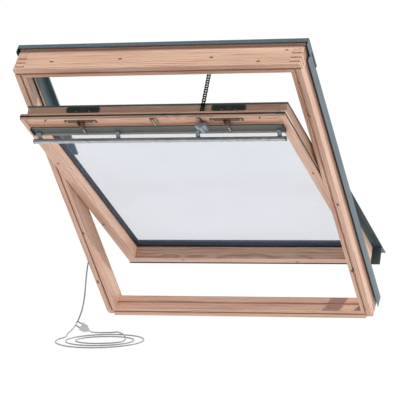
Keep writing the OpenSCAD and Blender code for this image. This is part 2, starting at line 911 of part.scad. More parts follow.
module flap_arm_left() {
    flap_arm(-arm_x);
}

module flap_arm_right() {
    flap_arm(arm_x);
}

module flap_end_caps() {
    t = 3;
    color("#1f2223") in_sash() for (side = [-1, 1])
        side_block(side, [flap_l / 2, flap_l / 2 + t], [flap_s0, flap_s1 + 1],
            [flap_n - flap_lip - 1, flap_n + 5]);
}

module lock_case() {
    w = lock_w;
    s = [flap_s0 + 14 - lock_l, flap_s0 + 14];
    n = [flap_n - 14, flap_n];
    color("#8c969b") in_sash() difference() {
        union() {
            block([chain_x - w / 2, chain_x + w / 2], s, n);
            s_cylinder(16, chain_x, [s[0] - 1, s[1] + 3], n[0]);
        }
        for (k = [-1, 1]) translate([chain_x + k * 14, 0, 0])
            block([-4, 4], [s[1] - 12, s[1] - 4], [n[0] - 1, n[0] + 5]);
        block([chain_x - w, chain_x + w], [0, frame_h], [flap_n, flap_n + 20]);
    }
}

module control_bar() {
    color("#b9c0c4") in_sash() translate([-bar_l / 2, bar_s, bar_n]) rotate([90, 0, 90])
        linear_extrude(height = bar_l) difference() {
            rounded(bar_h, bar_d, 4);
            rounded(bar_h - 4, bar_d - 4, 2.5);
        }
}

module bar_brackets() {
    w = 16;
    color("#7f8a8e") in_sash() for (x = bracket_x) translate([x - w / 2, 0, 0])
        rotate([90, 0, 90]) linear_extrude(height = w) polygon([
            [flap_s1 - foot_l, flap_n], [flap_s1 - 3, flap_n], [flap_s1 - 3, flap_n - flap_lip - 1],
            [bar_s + bar_h / 2 - 4, bar_n + bar_d / 2], [bar_s - bar_h / 2 + 4, bar_n + bar_d / 2],
            [flap_s1 - foot_l, flap_n - 5]
        ]);
}

module bar_end_caps() {
    t = 4;
    color("#5b6468") in_sash() for (side = [-1, 1])
        translate([side * (bar_l / 2 + t / 2) - t / 2, bar_s, bar_n]) rotate([90, 0, 90])
            linear_extrude(height = t) rounded(bar_h + 1, bar_d + 1, 4);
}

// ---- screws --------------------------------------------------------------------------------

// Countersunk or pan head with its shank, along +n from its seat
module screw(len) {
    cylinder(d = 4, h = len);
    translate([0, 0, -2]) cylinder(d1 = 5, d2 = 8, h = 2);
}

module frame_screws() {
    color("#b9bbbc") in_window() for (side = [-1, 1], k = [-1, 1])
        translate([side * (rebate_half - plate_t), pivot_s + k * 45, pivot_n])
            rotate([0, side * 90, 0]) screw(plate_t);
}

module sash_screws() {
    floor_n = sash_n + recess_d;
    color("#b9bbbc") in_sash() {
        for (x = [-arm_x, arm_x], k = [-1, 1])
            translate([x + k * 55, (base_s[0] + base_s[1]) / 2, floor_n - 3]) screw(3);
    }
}

module flap_screws() {
    color("#dadcdd") in_sash() for (x = [-arm_x, arm_x], s = arm_screw_s)
        translate([x, s, flap_n - 3]) screw(3);
}

// ---- mains cord ----------------------------------------------------------------------------

// Channel in the outer face of the left stile for the opener's supply lead,
// and the hole that takes the lead through the head to the opener
module lead_channel() {
    w = lead_dia / 2 + 1;
    block([-half_w - 1, lead_x + w], [lead_s - w, clamp_s], [clamp_n - w, clamp_n + w]);
    block([-half_w - 1, lead_x + w], [lead_s - w, lead_s + w],
        [min(clamp_n, lead_n) - w, max(clamp_n, lead_n) + w]);
    x_cylinder(lead_dia + 1, [lead_x, casing_x0 + 1], lead_s, lead_n);
}

module supply_lead() {
    color("#e9e9e6") in_window() union() {
        x_cylinder(lead_dia, [lead_x, casing_x0 + 12], lead_s, lead_n);
        n_cylinder(lead_dia, lead_x, lead_s, [min(clamp_n, lead_n), max(clamp_n, lead_n)]);
        s_cylinder(lead_dia, lead_x, [lead_s, clamp_s], clamp_n);
        for (n = [clamp_n, lead_n]) translate([lead_x, lead_s, n]) sphere(d = lead_dia);
    }
}

module cord_clamp() {
    x = [-half_w - 12, -half_w];
    color("#e4e4e0") in_window() union() {
        block(x, [clamp_s, clamp_s + clamp_h - 6], [clamp_n - 14, clamp_n + 14]);
        s_cylinder(12, -half_w - 8, [clamp_s + clamp_h - 6 - eps, clamp_s + clamp_h], clamp_n);
    }
}

// A point on the smooth curve through the route, between points i and i + 1
function curve_point(p, i, t) = let (
        a = p[max(i - 1, 0)], b = p[i], c = p[i + 1], d = p[min(i + 2, len(p) - 1)])
    0.5 * (2 * b + (c - a) * t + (2 * a - 5 * b + 4 * c - d) * t * t
        + (3 * b - a - 3 * c + d) * t * t * t);

function curve(p, steps) = concat(
    [for (i = [0:len(p) - 2], k = [0:steps - 1]) curve_point(p, i, k / steps)],
    [p[len(p) - 1]]);

function unit(v) = v / norm(v);

// A tube swept along the points, as one closed mesh
module tube(points, r, sides) {
    last = len(points) - 1;
    dirs = [for (i = [0:last]) unit(points[min(i + 1, last)] - points[max(i - 1, 0)])];
    rings = [for (i = [0:last])
        let (u = unit(cross(dirs[i], [1, 0, 0])), v = cross(dirs[i], u))
        for (k = [0:sides - 1]) points[i] + r * (cos(k * 360 / sides) * u + sin(k * 360 / sides) * v)];
    walls = [for (i = [0:last - 1], k = [0:sides - 1]) let (m = (k + 1) % sides)
        [i * sides + k, (i + 1) * sides + k, (i + 1) * sides + m, i * sides + m]];
    polyhedron(rings, concat(
        [[for (k = [0:sides - 1]) k]],
        walls,
        [[for (k = [sides - 1:-1:0]) last * sides + k]]));
}

module cord_tube() {
    color("#e9e9e6") tube(curve(cord_route, 3), cord_r, 8);
}

module cord_coil() {
    color("#e9e9e6") translate([coil_centre[0], coil_centre[1], floor_z]) difference() {
        cylinder(d = coil_dia, h = coil_h, $fn = 96);
        translate([0, 0, -1]) cylinder(d = coil_inner_dia, h = coil_h + 2, $fn = 96);
    }
}

// Flat two-pin plug, held up by the stiffness of its cord
module in_plug() {
    translate(plug_at) rotate([0, plug_tilt, plug_turn]) children();
}

module plug_body() {
    color("#e4e6e6") in_plug() rotate([90, 0, 0]) translate([0, 0, -plug_t / 2]) union() {
        linear_extrude(height = plug_t) polygon([
            [-boot_l, -6], [-boot_l - 14, -plug_w / 2 + 2], [-boot_l - plug_l, -plug_w / 2],
            [-boot_l - plug_l, plug_w / 2], [-boot_l - 14, plug_w / 2 - 2], [-boot_l, 6]]);
        translate([-boot_l - eps, 0, plug_t / 2]) rotate([0, 90, 0]) cylinder(d = 9, h = boot_l);
    }
}

module plug_blades() {
    color("#1b1b1b") in_plug() for (side = [-1, 1])
        translate([-boot_l - plug_l - 19, 0, side * 9]) rotate([0, 90, 0]) cylinder(d = 4, h = 19);
}

frame_top_rail();
frame_bottom_rail();
frame_left_stile();
frame_right_stile();
frame_top_stops();
frame_left_stop();
frame_right_stop();
frame_gasket();
frame_head_cover();
frame_left_cover();
frame_right_cover();
frame_bottom_cover();
opener_casing();
opener_motor();
opener_gearbox();
opener_board();
chain_sprocket();
push_chain();
pivot_pin_left();
pivot_pin_right();
frame_screws();
sash_top_rail();
sash_bottom_rail();
sash_left_stile();
sash_right_stile();
inner_pane();
outer_pane();
pane_spacer();
glazing_gasket();
sash_gasket();
sash_top_cover();
sash_left_cover();
sash_right_cover();
sash_bottom_cover();
pivot_plate_left();
pivot_plate_right();
chain_bracket();
chain_pin();
vent_cover_left();
vent_cover_right();
flap_base_left();
flap_base_right();
latch_pin();
centre_stud();
sash_screws();
ventilation_flap();
flap_arm_left();
flap_arm_right();
flap_end_caps();
lock_case();
control_bar();
bar_brackets();
bar_end_caps();
flap_screws();
supply_lead();
cord_clamp();
cord_tube();
cord_coil();
plug_body();
plug_blades();
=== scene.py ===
"""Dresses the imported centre-pivot roof window: lacquered pine, folded sheet cladding, a glass
unit, the ventilation flap with its control bar, the chain opener and the mains cord.

Window coordinates are used throughout: x across, s down the slope from the head and n
outwards from the room edge. A piece is built closed in them and then placed by the matrix of
the leaf it belongs to, so that every object sits at the origin.
"""

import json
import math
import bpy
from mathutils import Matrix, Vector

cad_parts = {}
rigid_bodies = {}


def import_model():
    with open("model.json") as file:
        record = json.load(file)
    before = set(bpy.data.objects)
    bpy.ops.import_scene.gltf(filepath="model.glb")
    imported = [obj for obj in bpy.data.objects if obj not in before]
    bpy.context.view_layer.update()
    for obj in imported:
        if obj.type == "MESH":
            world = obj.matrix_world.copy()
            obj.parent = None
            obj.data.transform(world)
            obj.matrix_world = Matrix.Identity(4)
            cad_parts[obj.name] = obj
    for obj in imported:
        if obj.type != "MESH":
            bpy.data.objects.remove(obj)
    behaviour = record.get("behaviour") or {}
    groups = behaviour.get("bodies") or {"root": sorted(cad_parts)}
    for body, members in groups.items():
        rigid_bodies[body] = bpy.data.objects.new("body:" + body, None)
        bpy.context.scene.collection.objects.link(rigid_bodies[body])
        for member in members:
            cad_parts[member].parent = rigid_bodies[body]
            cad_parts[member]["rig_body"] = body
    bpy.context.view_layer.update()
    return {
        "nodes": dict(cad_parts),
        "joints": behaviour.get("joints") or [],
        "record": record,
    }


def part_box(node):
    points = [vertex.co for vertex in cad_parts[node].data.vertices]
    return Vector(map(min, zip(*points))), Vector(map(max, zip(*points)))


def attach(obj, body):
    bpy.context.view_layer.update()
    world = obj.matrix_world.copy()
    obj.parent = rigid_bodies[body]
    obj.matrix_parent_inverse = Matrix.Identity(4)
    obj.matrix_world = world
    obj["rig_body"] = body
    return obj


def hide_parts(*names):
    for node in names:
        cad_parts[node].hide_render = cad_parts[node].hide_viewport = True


bl_info = {
    "name": "Roof window looks",
    "version": (1, 0, 0),
    "blender": (4, 5, 0),
    "location": "View3D > Sidebar > Roof window",
    "description": "Builds the visible pieces of a centre-pivot roof window",
    "category": "Object",
}

import bmesh
import bpy
from mathutils import Matrix, Vector

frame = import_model()

RECORD = frame["record"]
JOINTS = {joint["name"]: joint for joint in frame["joints"]}
MOUNTS = {mount["name"]: mount for mount in RECORD["mounts"]}
MM = 0.001
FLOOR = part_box("cord_coil")[0].z

# Sizes and places of the window in its own coordinates, in millimetres
LENGTH = 1400
DEPTH = 118
ROOM_FACE = 20
OUTER_TOP = 85
CHAIN_X = 190
ARM_X = 290
FLAP_TOP = 107
FLAP_END = 153
FLAP_ROOM = 14
FLAP_HALF = 500
BAR_S = 163
BAR_N = -13
PIVOT_S = 645
PIVOT_N = 106

PITCH = math.acos(MOUNTS["sill_face"]["axis"][1])
PIVOT = Vector(JOINTS["sash_pivot"]["pos_m"])
OPEN = math.radians(-JOINTS["sash_pivot"]["range_deg"][0])
SCALE = Matrix.Diagonal((MM, MM, MM, 1))
WINDOW = (Matrix.Rotation(-PITCH, 4, "X") @ SCALE
          @ Matrix.Translation((0, -LENGTH, -DEPTH / 2)))
SASH = (Matrix.Translation(PIVOT) @ Matrix.Rotation(OPEN, 4, "X")
        @ Matrix.Translation(-PIVOT) @ WINDOW)


def colour(red, green, blue):
    """A colour given as it looks on a screen, 0 to 255, as the shader's linear values."""
    def linear(value):
        value /= 255
        return value / 12.92 if value <= 0.04045 else ((value + 0.055) / 1.055) ** 2.4
    return (linear(red), linear(green), linear(blue), 1.0)


# ---- sizes and colours that a user would change ---------------------------------------------

def length_property(name, description, default):
    """A size in metres, shown as a distance."""
    return bpy.props.FloatProperty(name=name, description=description, default=default,
                                   min=0.0, subtype="DISTANCE", unit="LENGTH", precision=4)


def colour_property(name, description, default):
    """A colour with alpha, given in linear values."""
    return bpy.props.FloatVectorProperty(name=name, description=description, default=default,
                                         min=0.0, max=1.0, size=4, subtype="COLOR")


class WindowColours(bpy.types.PropertyGroup):
    """Colours of the window's finishes."""

    pine: colour_property("Pine", "Pale wood between the growth rings", colour(222, 184, 160))
    grain: colour_property("Grain", "Darker wood of the growth rings", colour(158, 98, 80))
    knot: colour_property("Knots", "Heart of the knots", colour(96, 52, 34))
    cladding: colour_property("Cladding", "Lacquer of the outer covers", colour(82, 100, 110))
    sash_cladding: colour_property("Sash cladding", "Lacquer of the sash's covers",
                                   colour(92, 104, 108))
    flap: colour_property("Flap", "Lacquer of the ventilation flap", colour(110, 114, 112))
    bronze: colour_property("Hinges", "Bronze toned hinge parts", colour(112, 92, 80))
    sheath: colour_property("Cord", "Sheath of the mains cord", colour(168, 170, 170))


class WindowSizes(bpy.types.PropertyGroup):
    """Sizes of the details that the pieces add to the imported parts."""

    timber_edge: length_property("Timber edge", "Rounding of the timber's edges", 0.0016)
    sheet_edge: length_property("Sheet edge", "Rounding of folded sheet", 0.0006)
    metal_edge: length_property("Metal edge", "Rounding of small metal parts", 0.0004)
    ring_spacing: length_property("Ring spacing", "Distance between growth rings", 0.0052)
    cord_length: length_property("Cord length", "Length of the mains cord", 2.82)


# ---- shaders ---------------------------------------------------------------------------------

class Value:
    """A number in a shader. Python's operators on it add Math nodes."""

    def __init__(self, finish, socket):
        self.finish, self.socket = finish, socket

    def maths(self, operation, *others):
        return self.finish.node("Math", {"operation": operation},
                                dict(enumerate((self, *others))))

    def __add__(self, other):
        return self.maths("ADD", other)

    def __sub__(self, other):
        return self.maths("SUBTRACT", other)

    def __mul__(self, other):
        return self.maths("MULTIPLY", other)

    def __truediv__(self, other):
        return self.maths("DIVIDE", other)

    def __rsub__(self, other):
        return self.finish.constant_first("SUBTRACT", other, self)

    def __rtruediv__(self, other):
        return self.finish.constant_first("DIVIDE", other, self)

    __radd__ = __add__
    __rmul__ = __mul__

    def root(self):
        return self.maths("SQRT")

    def fraction(self):
        return self.maths("FRACT")

    def ease(self, low, high):
        """0 below low and 1 above high, with a smooth rise between them."""
        return self.finish.node(
            "MapRange", {"interpolation_type": "SMOOTHSTEP"},
            {"Value": self, "From Min": low, "From Max": high})


class Finish:
    """A material while it is wired. Every node comes from node(), by way of Value or not."""

    def __init__(self, name):
        self.material = bpy.data.materials.new(name)
        self.material.use_nodes = True
        self.tree = self.material.node_tree
        self.tree.nodes.clear()

    def node(self, kind, settings=None, inputs=None, output=0):
        made = self.tree.nodes.new("ShaderNode" + kind)
        for key, setting in (settings or {}).items():
            setattr(made, key, setting)
        for key, value in (inputs or {}).items():
            if isinstance(value, Value):
                self.tree.links.new(value.socket, made.inputs[key])
            else:
                made.inputs[key].default_value = value
        return Value(self, made.outputs[output])

    def constant_first(self, operation, number, value):
        return self.node("Math", {"operation": operation}, {0: number, 1: value})

    def place(self, matrix=None):
        """x, s and n in millimetres in the coordinates of a leaf, or the row frame's in metres."""
        spot = self.node("TexCoord", output="Object")
        if matrix is not None:
            inner = matrix.inverted()
            spot = self.node("Mapping", {"vector_type": "POINT"}, {
                "Vector": spot, "Location": inner.translation,
                "Rotation": inner.to_euler(), "Scale": inner.to_scale()})
        split = self.node("SeparateXYZ", None, {0: spot})
        outputs = split.socket.node.outputs
        return [Value(self, outputs[axis]) for axis in range(3)]

    def vector(self, x, y, z):
        return self.node("CombineXYZ", None, {0: x, 1: y, 2: z})

    def noise(self, x, y, z, detail=2.0, roughness=0.5, scale=1.0):
        return self.node("TexNoise", {"noise_dimensions": "3D"}, {
            "Vector": self.vector(x, y, z), "Scale": scale, "Detail": detail,
            "Roughness": roughness})

    def blend(self, factor, first, second, mode="MIX"):
        return self.node("Mix", {"data_type": "RGBA", "blend_type": mode},
                         {0: factor, 6: first, 7: second}, output=2)

    def bump(self, height, strength, distance):
        return self.node("Bump", None, {"Height": height, "Strength": strength,
                                        "Distance": distance})

    def shade_with(self, tone, rough, normal, fixed):
        """Ends the material in a Principled shader; fixed holds the values of plain sockets."""
        inputs = {"Base Color": tone, "Roughness": rough, **fixed}
        if normal is not None:
            inputs["Normal"] = normal
        surface = self.node("BsdfPrincipled", None, inputs)
        # The Output node has no output to wrap, so node() isn't asked for one
        end = self.tree.nodes.new("ShaderNodeOutputMaterial")
        self.tree.links.new(surface.socket, end.inputs["Surface"])
        return self.material


FINISHES = {}


def finish_once(maker):
    """Makes a finish the first time it is asked for and hands out the same one later."""
    def given(*key):
        name = "_".join([maker.__name__, *map(str, key)])
        if name not in FINISHES:
            FINISHES[name] = maker(Finish(name), *key)
        return FINISHES[name]
    return given


# Knots by member: place along the grain, place across it, radius, in millimetres. Across is s
# or x, but in the head it is n, since that member's outer face is the one that shows.
KNOTS = {
    "head": ((-422, 42, 6), (-146, 49, 6), (218, 46, 6), (407, 19, 6), (505, 78, 5)),
    "sill": ((-330, 20, 6), (96, 30, 7), (430, 14, 5)),
    "left_stile": ((330, -556, 6), (905, -541, 6), (1195, -561, 7)),
    "right_stile": ((268, 548, 7), (742, 560, 6), (1120, 541, 7)),
    "sash_head": ((-300, 118, 6), (102, 62, 7), (-240, 58, 6), (450, 128, 5)),
    "sash_sill": ((-280, 1330, 6), (215, 1341, 6)),
    "sash_left": ((420, -506, 6), (980, -514, 6)),
    "sash_right": ((520, 505, 6), (1090, 512, 6)),
    "stops": (),
}
MEMBERS = {
    "head": (WINDOW, "x", 3.1, (88, -46)),
    "sill": (WINDOW, "x", 9.7, (1330, -60)),
    "left_stile": (WINDOW, "s", 5.3, (-605, -38)),
    "right_stile": (WINDOW, "s", 7.9, (612, -52)),
    "sash_head": (SASH, "x", 12.4, (76, 10)),
    "sash_sill": (SASH, "x", 15.2, (1382, 20)),
    "sash_left": (SASH, "s", 17.7, (-540, 6)),
    "sash_right": (SASH, "s", 19.1, (452, 4)),
    "stops": (WINDOW, "s", 23.3, (-500, 160)),
}


@finish_once
def pine(f, member, painted_shade=0.0):
    """Lacquered pine: growth rings round a heart outside the section, fibres and knots; a non-zero
    second argument multiplies painted shade into the tone.
    """
    colours = bpy.context.scene.window_colours
    spacing = bpy.context.scene.window_sizes.ring_spacing / MM
    matrix, along, seed, heart = MEMBERS[member]
    x, s, n = f.place(matrix)
    run, wide = (x, s) if along == "x" else (s, x)
    sway = f.noise(run * 0.0021 + seed, wide * 0.011, n * 0.011, detail=2)
    lean = f.noise(run * 0.0017 - seed, wide * 0.009 + seed, n * 0.009, detail=2)
    streak = f.noise(run * 0.0032 + seed, wide * 0.1, n * 0.1, detail=3, roughness=0.6)
    fibre = f.noise(run * 0.03, wide * 1.3, n * 1.3 + seed, detail=3, roughness=0.6)
    swell = dark = None
    face = n if member == "head" else wide
    for place, side, size in KNOTS[member]:
        far = (((run - place) * 0.62) * ((run - place) * 0.62)
               + (face - side) * (face - side)).root() / size
        push = 1.0 / (far * far * 0.22 + 1.0)
        heart_of_knot = 1.0 - far.ease(0.55, 1.12)
        swell = push if swell is None else swell + push
        dark = heart_of_knot if dark is None else dark.maths("MAXIMUM", heart_of_knot)
    across = wide - heart[0] + (sway - 0.5) * 46
    deep = n - heart[1] + (lean - 0.5) * 30
    radius = (across * across + deep * deep).root()
    if swell is not None:
        radius = radius + swell * 11
    phase = (radius / spacing + (fibre - 0.5) * 0.35).fraction()
    late = phase.ease(0.35, 0.9) * (1.0 - phase.ease(0.92, 1.0))
    tone = f.blend(late * (streak.ease(0.25, 0.8) * 0.55 + 0.35), tuple(colours.pine),
                   tuple(colours.grain))
    tone = f.blend(streak.ease(0.42, 0.78) * 0.6, tone, colour(168, 108, 92))
    tone = f.blend(fibre.ease(0.35, 0.9) * 0.35, tone, colour(236, 208, 184))
    # Painted shade: the tone is multiplied towards dark brown to stand for the shade the member
    # sits in, not a darker wood.
    if painted_shade:
        tone = f.blend(painted_shade, tone, colour(120, 78, 62), "MULTIPLY")
    if dark is not None:
        ring = (radius / 2.4).fraction().ease(0.2, 0.8)
        core = f.blend(ring * 0.6, tuple(colours.knot), colour(140, 84, 54))
        tone = f.blend(dark * 0.92, tone, core)
    rough = fibre * 0.14 + late * 0.08 + 0.36
    return f.shade_with(
        tone, rough, f.bump(late * 0.35 + fibre * 0.5, 0.22, 0.0004),
        {"Coat Weight": 0.12, "Coat Roughness": 0.28, "Specular IOR Level": 0.45})


@finish_once
def lacquered_sheet(f, which):
    """Coil-coated sheet: fine texture, faint weather streaks down the slope, dust on top."""
    colours = bpy.context.scene.window_colours
    base = tuple(colours.sash_cladding if which == "sash" else colours.cladding)
    x, s, n = f.place(SASH if which == "sash" else WINDOW)
    cloud = f.noise(x * 0.004, s * 0.004, n * 0.02, detail=3)
    run = f.noise(x * 0.05, s * 0.002, n * 0.05, detail=3)
    grit = f.noise(x * 1.4, s * 1.4, n * 1.4, detail=2)
    tone = f.blend(cloud.ease(0.3, 0.75) * 0.35, base, tuple(c * 0.72 for c in base[:3]) + (1,))
    tone = f.blend(run.ease(0.5, 0.85) * 0.3, tone, colour(148, 156, 156))
    return f.shade_with(tone, cloud * 0.16 + grit * 0.12 + 0.3, f.bump(grit, 0.12, 0.0002),
                        {"Metallic": 0.25})


@finish_once
def weather_seal(f):
    """Black rubber with a little chalky bloom."""
    x, y, z = f.place()
    bloom = f.noise(x * 30, y * 30, z * 30, detail=4)
    fine = f.noise(x * 900, y * 900, z * 900, detail=2)
    tone = f.blend(bloom.ease(0.45, 0.85) * 0.5, colour(22, 22, 23), colour(62, 62, 62))
    return f.shade_with(tone, bloom * 0.25 + 0.5, f.bump(fine, 0.2, 0.0002), {})


@finish_once
def metal(f, kind):
    """Bare or plated metal with fine tool marks."""
    shades = {
        "zinc": (colour(176, 178, 180), colour(140, 144, 148), 0.32),
        "bright": (colour(214, 214, 212), colour(176, 176, 174), 0.2),
        "brass": (colour(150, 140, 128), colour(112, 100, 90), 0.3),
        "chain": (colour(46, 42, 40), colour(24, 22, 21), 0.42),
        "rivet": (colour(188, 180, 166), colour(140, 132, 120), 0.3),
        "anodised": (colour(196, 202, 205), colour(172, 179, 183), 0.34),
        "stud": (colour(186, 166, 148), colour(140, 120, 106), 0.34),
        "dark": (colour(48, 50, 52), colour(30, 31, 33), 0.45),
    }
    light, shadow, rough = shades[kind]
    x, y, z = f.place()
    patch = f.noise(x * 45, y * 45, z * 45, detail=3)
    marks = f.noise(x * 60, y * 1800, z * 1800, detail=2)
    tone = f.blend(patch.ease(0.3, 0.75), light, shadow)
    return f.shade_with(tone, patch * 0.18 + marks * 0.1 + rough - 0.12,
                        f.bump(marks, 0.1, 0.0001), {"Metallic": 1.0})


@finish_once
def painted(f, kind):
    """Painted or moulded parts with a fine grain and slightly worn tone."""
    colours = bpy.context.scene.window_colours
    shades = {
        "flap": (tuple(colours.flap), 0.42, 0.35), "bronze": (tuple(colours.bronze), 0.4, 0.5),
        "moulding": (colour(58, 66, 60), 0.48, 0.0), "lock": (colour(150, 162, 172), 0.38, 0.2),
        "caps": (colour(38, 41, 43), 0.5, 0.0), "bracket": (colour(124, 136, 142), 0.36, 0.6),
        "bar_cap": (colour(92, 102, 108), 0.42, 0.0), "opener": (colour(74, 77, 80), 0.45, 0.3),
        "board": (colour(38, 92, 62), 0.4, 0.0), "spacer": (colour(40, 42, 44), 0.45, 0.4),
        "sheath": (tuple(colours.sheath), 0.4, 0.0), "plug": (colour(224, 228, 229), 0.36, 0.0),
        "lip": (colour(196, 184, 170), 0.4, 0.2),
    }
    base, rough, metallic = shades[kind]
    x, y, z = f.place()
    patch = f.noise(x * 9, y * 9, z * 9, detail=4)
    grain = f.noise(x * 1100, y * 1100, z * 1100, detail=2)
    tone = f.blend(patch.ease(0.35, 0.8) * 0.45, base,
                   tuple(c * 0.74 for c in base[:3]) + (1,))
    return f.shade_with(tone, patch * 0.14 + grain * 0.08 + rough - 0.1,
                        f.bump(grain, 0.12, 0.00015), {"Metallic": metallic})


@finish_once
def clear_glass(f):
    """Float glass with a faint bluish cast and a painted reflection of a cloudy sky in its tone;
    each face lets most of the light through.
    """
    x, s, n = f.place(SASH)
    # Painted reflection: a slow noise mixes two blues into the tone, standing for a cloudy sky
    # mirrored in the glass.
    painted_sky_reflection = f.noise(x * 0.0032, s * 0.0058, n * 0.001, detail=3)
    tone = f.blend(painted_sky_reflection.ease(0.35, 0.75), colour(122, 142, 176), colour(150, 166, 196))
    return f.shade_with(tone, 0.03, None, {"Alpha": 0.1, "Specular IOR Level": 0.25})


# ---- meshes ----------------------------------------------------------------------------------

def settle(piece, finish, body, nodes, sharp=40):
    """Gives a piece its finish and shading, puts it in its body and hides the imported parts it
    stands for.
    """
    data = piece.data
    if not data.materials:
        data.materials.append(finish)
    data.polygons.foreach_set("use_smooth", [True] * len(data.polygons))
    data.set_sharp_from_angle(angle=math.radians(sharp))
    data.update()
    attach(piece, body)
    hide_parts(*nodes)
    return piece


def new_piece(name, data):
    piece = bpy.data.objects.new(name, data)
    bpy.context.scene.collection.objects.link(piece)
    return piece


def merged_copy(node):
    """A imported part's solid as a bmesh whose doubles are merged and flat faces joined."""
    work = bmesh.new()
    work.from_mesh(frame["nodes"][node].data)
    bmesh.ops.remove_doubles(work, verts=work.verts, dist=2e-6)
    bmesh.ops.dissolve_limit(work, angle_limit=math.radians(0.6), verts=work.verts,
                             edges=work.edges)
    return work


def eased(node, finish, edge, suffix, segments=2):
    """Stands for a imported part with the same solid, its sharp edges rounded."""
    work = merged_copy(node)
    data = bpy.data.meshes.new(node + suffix)
    work.to_mesh(data)
    work.free()
    piece = new_piece(node + suffix, data)
    rounding = piece.modifiers.new("Edges", "BEVEL")
    rounding.width, rounding.segments = edge, segments
    rounding.limit_method, rounding.angle_limit = "ANGLE", math.radians(40)
    rounding.harden_normals = True
    rounding.use_clamp_overlap = True
    return settle(piece, finish, frame["nodes"][node]["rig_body"], [node])


def from_bmesh(name, work, matrix):
    """A new object of a bmesh that was built in window coordinates."""
    bmesh.ops.transform(work, matrix=matrix, verts=work.verts)
    bmesh.ops.recalc_face_normals(work, faces=work.faces)
    data = bpy.data.meshes.new(name)
    work.to_mesh(data)
    work.free()
    return new_piece(name, data)


def prism(work, outline, ends):
    """A closed prism along x between two ends: outline is a list of (s, n)."""
    first, second = [[work.verts.new((x, s, n)) for s, n in outline] for x in ends]
    count = len(outline)
    for i in range(count):
        j = (i + 1) % count
        work.faces.new((first[i], first[j], second[j], second[i]))
    work.faces.new(first)
    work.faces.new(list(reversed(second)))


def rounded_outline(width, height, radius, steps=4):
    """A rounded rectangle about the origin."""
    points = []
    for quarter, (i, j) in enumerate(((1, 1), (-1, 1), (-1, -1), (1, -1))):
        for step in range(steps + 1):
            turn = math.radians(90 * quarter + 90 * step / steps)
            points.append((i * (width / 2 - radius) + radius * math.cos(turn),
                           j * (height / 2 - radius) + radius * math.sin(turn)))
    return points


def lathe(work, outline, matrix, steps=20):
    """A turned solid: outline is a list of (radius, height) that starts and ends on the axis."""
    rings = []
    for radius, height in outline:
        if radius < 1e-6:
            rings.append([work.verts.new(matrix @ Vector((0, 0, height)))])
        else:
            rings.append([work.verts.new(matrix @ Vector((
                radius * math.cos(2 * math.pi * k / steps),
                radius * math.sin(2 * math.pi * k / steps), height))) for k in range(steps)])
    for low, high in zip(rings, rings[1:]):
        for k in range(steps):
            m = (k + 1) % steps
            corners = [low[k % len(low)], low[m % len(low)], high[m % len(high)],
                       high[k % len(high)]]
            corners = [v for i, v in enumerate(corners) if v not in corners[:i]]
            if len(corners) > 2:
                work.faces.new(corners)


# ---- Geometry Nodes --------------------------------------------------------------------------

def new_tree(name, inputs):
    """A Geometry Nodes tree with its geometry sockets and named inputs."""
    tree = bpy.data.node_groups.new(name, "GeometryNodeTree")
    tree.interface.new_socket("Geometry", in_out="INPUT", socket_type="NodeSocketGeometry")
    tree.interface.new_socket("Geometry", in_out="OUTPUT", socket_type="NodeSocketGeometry")
    for label, kind in inputs:
        tree.interface.new_socket(label, in_out="INPUT", socket_type="NodeSocket" + kind)
    return tree


def tree_node(tree, kind, links=None, **settings):
    made = tree.nodes.new(kind)
    for key, value in settings.items():
        setattr(made, key, value)
    for key, value in (links or {}).items():
        if isinstance(value, bpy.types.NodeSocket):
            tree.links.new(value, made.inputs[key])
        else:
            made.inputs[key].default_value = value
    return made


def close_tree(tree, geometry, start):
    """Ends a tree in Realize Instances and Set Material."""
    real = tree_node(tree, "GeometryNodeRealizeInstances", {"Geometry": geometry})
    dressed = tree_node(tree, "GeometryNodeSetMaterial",
                        {"Geometry": real.outputs[0], "Material": start.outputs["Material"]})
    end = tree.nodes.new("NodeGroupOutput")
    tree.links.new(dressed.outputs[0], end.inputs["Geometry"])


def row_tree():
    """Copies of the piece's own mesh in a straight row."""
    tree = new_tree("Row of copies", [("Count", "Int"), ("Step", "Vector"),
                                      ("Material", "Material")])
    start = tree.nodes.new("NodeGroupInput")
    line = tree_node(tree, "GeometryNodeMeshLine",
                     {"Count": start.outputs["Count"], "Offset": start.outputs["Step"]},
                     mode="OFFSET")
    copies = tree_node(tree, "GeometryNodeInstanceOnPoints", {
        "Points": line.outputs[0], "Instance": start.outputs["Geometry"]})
    close_tree(tree, copies.outputs[0], start)
    return tree


def placed_tree():
    """Copies of another object at the piece's points, turned by their turn attribute."""
    tree = new_tree("Placed copies", [("Shape", "Object"), ("Material", "Material")])
    start = tree.nodes.new("NodeGroupInput")
    shape = tree_node(tree, "GeometryNodeObjectInfo", {"Object": start.outputs["Shape"]},
                      transform_space="ORIGINAL")
    turn = tree_node(tree, "GeometryNodeInputNamedAttribute", {"Name": "turn"},
                     data_type="FLOAT_VECTOR")
    spin = tree_node(tree, "FunctionNodeEulerToRotation", {"Euler": turn.outputs[0]})
    copies = tree_node(tree, "GeometryNodeInstanceOnPoints", {
        "Points": start.outputs["Geometry"], "Instance": shape.outputs["Geometry"],
        "Rotation": spin.outputs[0]})
    close_tree(tree, copies.outputs[0], start)
    return tree


TREES = {}


def grown(piece, maker, matrix=None, **inputs):
    """Runs a Geometry Nodes tree on a piece and keeps the result as its plain mesh."""
    if maker.__name__ not in TREES:
        TREES[maker.__name__] = maker()
    tree = TREES[maker.__name__]
    modifier = piece.modifiers.new("Repeat", "NODES")
    modifier.node_group = tree
    for item in tree.interface.items_tree:
        if item.in_out == "INPUT" and item.name.replace(" ", "_").lower() in inputs:
            modifier[item.identifier] = inputs[item.name.replace(" ", "_").lower()]
    graph = bpy.context.evaluated_depsgraph_get()
    data = bpy.data.meshes.new_from_object(piece.evaluated_get(graph), depsgraph=graph)
    piece.modifiers.clear()
    piece.data = data
    data.name = piece.name
    if matrix is not None:
        data.transform(matrix)
    return piece


